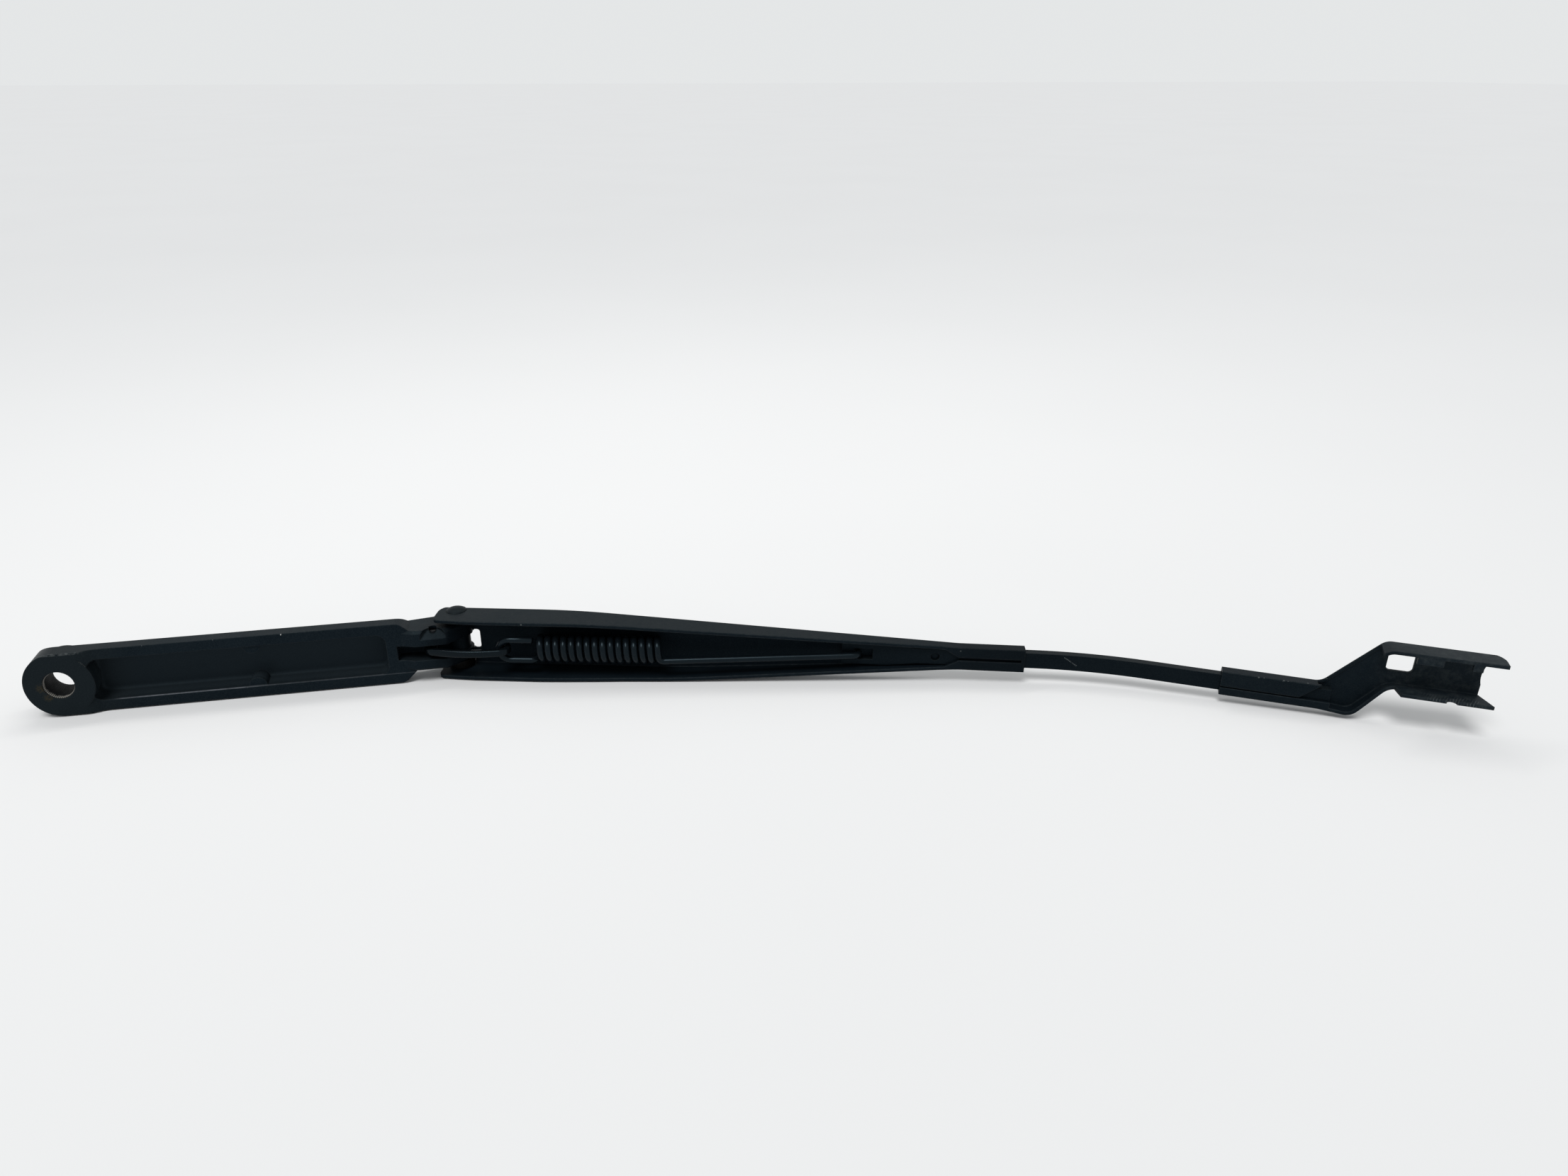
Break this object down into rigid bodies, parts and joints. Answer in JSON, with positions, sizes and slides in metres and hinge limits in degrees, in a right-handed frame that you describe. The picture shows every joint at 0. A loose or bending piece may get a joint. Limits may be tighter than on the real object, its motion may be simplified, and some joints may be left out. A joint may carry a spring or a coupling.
{
  "type": "wiper arm",
  "caption": "Car wiper arm without its blade: spindle boss, sprung hinge, tapered folded channel, flat bar and a jogged end trough for the blade.",
  "frame": {"origin": "centre of the spindle bore on the boss face that turns towards the glass", "axes": "+X along the mounting head to the tip, -Y towards the glass, +Z across the arm; the arm lies on its long side"},
  "size_m": [0.5994, 0.1593, 0.0368],
  "materials": {
    "cast_head": "satin black paint on cast aluminium, fine grain, edge chips",
    "folded_sheet": "satin black paint on sheet steel",
    "bar_steel": "satin black paint on flat steel bar",
    "spring_wire": "glossy black coated spring wire",
    "link_steel": "dark phosphated stamped steel",
    "pin_steel": "dark plain steel",
    "bush_bronze": "sintered bronze"
  },
  "bodies": {
    "head": {"mounting_head": "cast_head", "hook_pin": "pin_steel", "upper_hinge_bush": "bush_bronze", "lower_hinge_bush": "bush_bronze"},
    "arm": {"arm_channel": "folded_sheet", "hinge_rivet": "folded_sheet", "wiper_rod": "bar_steel", "blade_connector": "folded_sheet"},
    "link": {"spring_link": "link_steel"},
    "spring": {"tension_spring": "spring_wire"}
  },
  "joints": [
    {"name": "arm_hinge", "type": "hinge", "parent": "head", "child": "arm", "pos_m": [0.165, 0.012, 0], "axis": [0, 0, 1], "range_deg": [0, 60], "stiffness_Nm_per_rad": 0.8, "springref_deg": -85.94},
    {"name": "link_swing", "type": "hinge", "parent": "head", "child": "link", "pos_m": [0.1547, 0.004, 0], "axis": [0, 0, 1], "range_deg": [0, 40]},
    {"name": "spring_stretch", "type": "slide", "parent": "arm", "child": "spring", "axis": [-0.9384, 0.3455, 0], "range_m": [0, 0.0075], "deforming": ["tension_spring"]}
  ],
  "couplings": [
    {"joint": "link_swing", "follows": "arm_hinge", "ratio": 0.64},
    {"joint": "spring_stretch", "follows": "arm_hinge", "m_per_rad": 0.0069}
  ]
}
